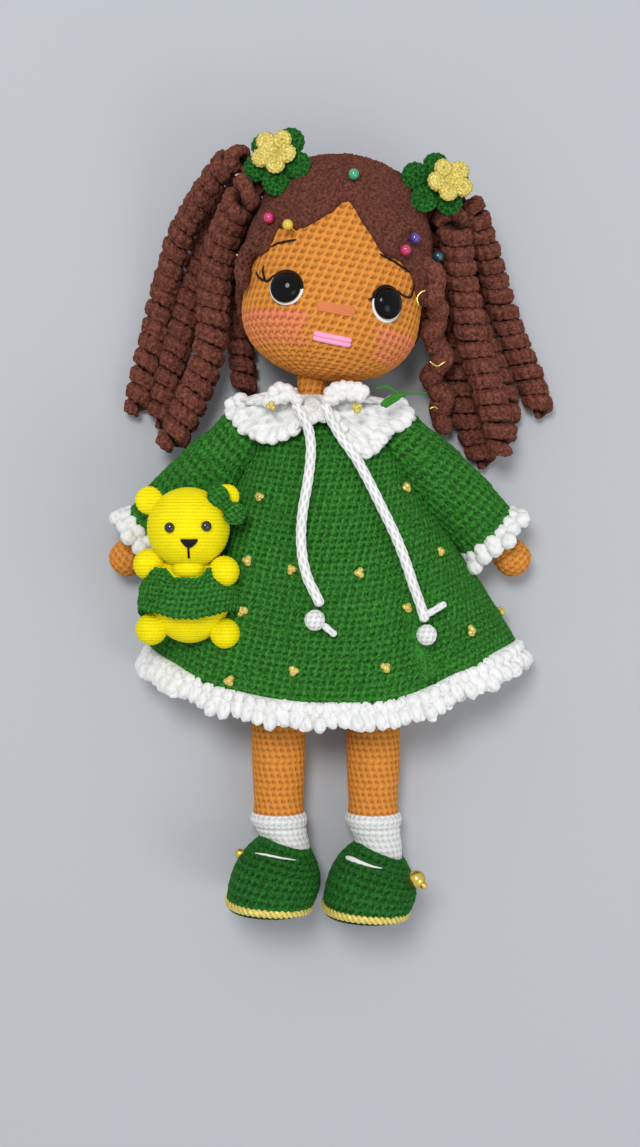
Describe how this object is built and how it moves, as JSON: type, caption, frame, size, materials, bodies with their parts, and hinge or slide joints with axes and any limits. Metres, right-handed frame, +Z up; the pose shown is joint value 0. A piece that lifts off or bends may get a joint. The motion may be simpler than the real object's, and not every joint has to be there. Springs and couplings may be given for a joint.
{
  "type": "crocheted doll",
  "caption": "Crocheted doll lying on its back, with curled pigtails, a flared dress with frills, drawstrings, shoes and a small toy bear on its arm.",
  "frame": {"origin": "on the table under the middle of the back of the dress", "axes": "+Z up from the table to the face, +Y from the feet to the head, +X to the doll's left hand"},
  "size_m": [0.1727, 0.3036, 0.0668],
  "materials": {
    "skin_yarn": "crocheted yarn, matt",
    "hair_yarn": "curled crochet yarn, matt",
    "dress_yarn": "chunky crocheted yarn, fuzzy",
    "leaf_yarn": "looped metallic yarn",
    "gold_yarn": "looped metallic yarn",
    "white_yarn": "chunky crocheted yarn, soft",
    "bear_yarn": "crocheted yarn, matt",
    "bear_top_yarn": "crocheted yarn, matt",
    "shoe_yarn": "crocheted yarn, matt",
    "eye_shell": "polished black",
    "eye_felt": "white felt",
    "washer_nylon": "moulded",
    "bead_gold": "pearl coated",
    "rod_steel": "drawn",
    "pin_green": "polished",
    "pin_pink": "polished",
    "pin_yellow": "polished",
    "pin_purple": "polished",
    "pin_teal": "polished"
  },
  "bodies": {
    "doll_body": {"torso": "skin_yarn", "neck_rod": "rod_steel", "dress": "dress_yarn", "hem_ruffle": "white_yarn", "collar": "white_yarn", "tie_cord_right": "white_yarn", "tie_cord_left": "white_yarn", "tie_bobble_right": "white_yarn", "tie_bobble_left": "white_yarn"},
    "head": {"head": "skin_yarn", "wig_cap": "hair_yarn", "eye_right": "eye_shell", "eye_left": "eye_shell", "eye_white_right": "eye_felt", "eye_white_left": "eye_felt", "eye_washer_right": "washer_nylon", "eye_washer_left": "washer_nylon", "pin_green": "pin_green", "pin_pink_right": "pin_pink", "pin_yellow": "pin_yellow", "pin_pink_left": "pin_pink", "pin_purple": "pin_purple", "pin_teal": "pin_teal", "flower_leaf_right": "leaf_yarn", "flower_leaf_left": "leaf_yarn", "flower_gold_right": "gold_yarn", "flower_gold_left": "gold_yarn", "side_lock_left": "hair_yarn"},
    "pigtail_right": {"bunch_right": "hair_yarn", "lock_right_1": "hair_yarn", "lock_right_2": "hair_yarn", "lock_right_3": "hair_yarn", "lock_right_4": "hair_yarn"},
    "pigtail_left": {"bunch_left": "hair_yarn", "lock_left_1": "hair_yarn", "lock_left_2": "hair_yarn", "lock_left_3": "hair_yarn", "lock_left_4": "hair_yarn"},
    "arm_right": {"arm_right": "skin_yarn", "sleeve_right": "dress_yarn", "cuff_ruffle_right": "white_yarn"},
    "arm_left": {"arm_left": "skin_yarn", "sleeve_left": "dress_yarn", "cuff_ruffle_left": "white_yarn"},
    "leg_right": {"leg_right": "skin_yarn", "sock_right": "white_yarn", "shoe_right": "shoe_yarn", "shoe_bead_right": "bead_gold"},
    "leg_left": {"leg_left": "skin_yarn", "sock_left": "white_yarn", "shoe_left": "shoe_yarn", "shoe_bead_left": "bead_gold"},
    "bear": {"bear_head": "bear_yarn", "bear_body": "bear_yarn", "bear_top": "bear_top_yarn", "bear_arm_right": "bear_yarn", "bear_arm_left": "bear_yarn", "bear_leg_right": "bear_yarn", "bear_leg_left": "bear_yarn", "bear_bow": "bear_top_yarn"}
  },
  "joints": [
    {"name": "head_turn", "type": "hinge", "parent": "doll_body", "child": "head", "pos_m": [-0.003, 0.0755, 0.028], "axis": [0, 1, 0], "range_deg": [-15, 15]},
    {"name": "arm_right_lift", "type": "hinge", "parent": "doll_body", "child": "arm_right", "pos_m": [-0.031, 0.051, 0.024], "axis": [-1, 0, 0], "range_deg": [0, 75]},
    {"name": "arm_left_lift", "type": "hinge", "parent": "doll_body", "child": "arm_left", "pos_m": [0.031, 0.051, 0.024], "axis": [-1, 0, 0], "range_deg": [-30, 75]},
    {"name": "leg_right_lift", "type": "hinge", "parent": "doll_body", "child": "leg_right", "pos_m": [-0.0163, -0.005, 0.016], "axis": [-1, 0, 0], "range_deg": [0, 12]},
    {"name": "leg_left_lift", "type": "hinge", "parent": "doll_body", "child": "leg_left", "pos_m": [0.0209, -0.005, 0.016], "axis": [-1, 0, 0], "range_deg": [0, 12]},
    {"name": "pigtail_right_swing", "type": "hinge", "parent": "head", "child": "pigtail_right", "pos_m": [-0.0208, 0.1505, 0.0381], "axis": [0, 0, -1], "range_deg": [0, 25]},
    {"name": "pigtail_left_swing", "type": "hinge", "parent": "head", "child": "pigtail_left", "pos_m": [0.0433, 0.1409, 0.0335], "axis": [0, 0, 1], "range_deg": [0, 25]},
    {"name": "bear_lift", "type": "slide", "parent": "arm_right", "child": "bear", "axis": [0, 0, 1], "range_m": [0, 0.08]}
  ]
}
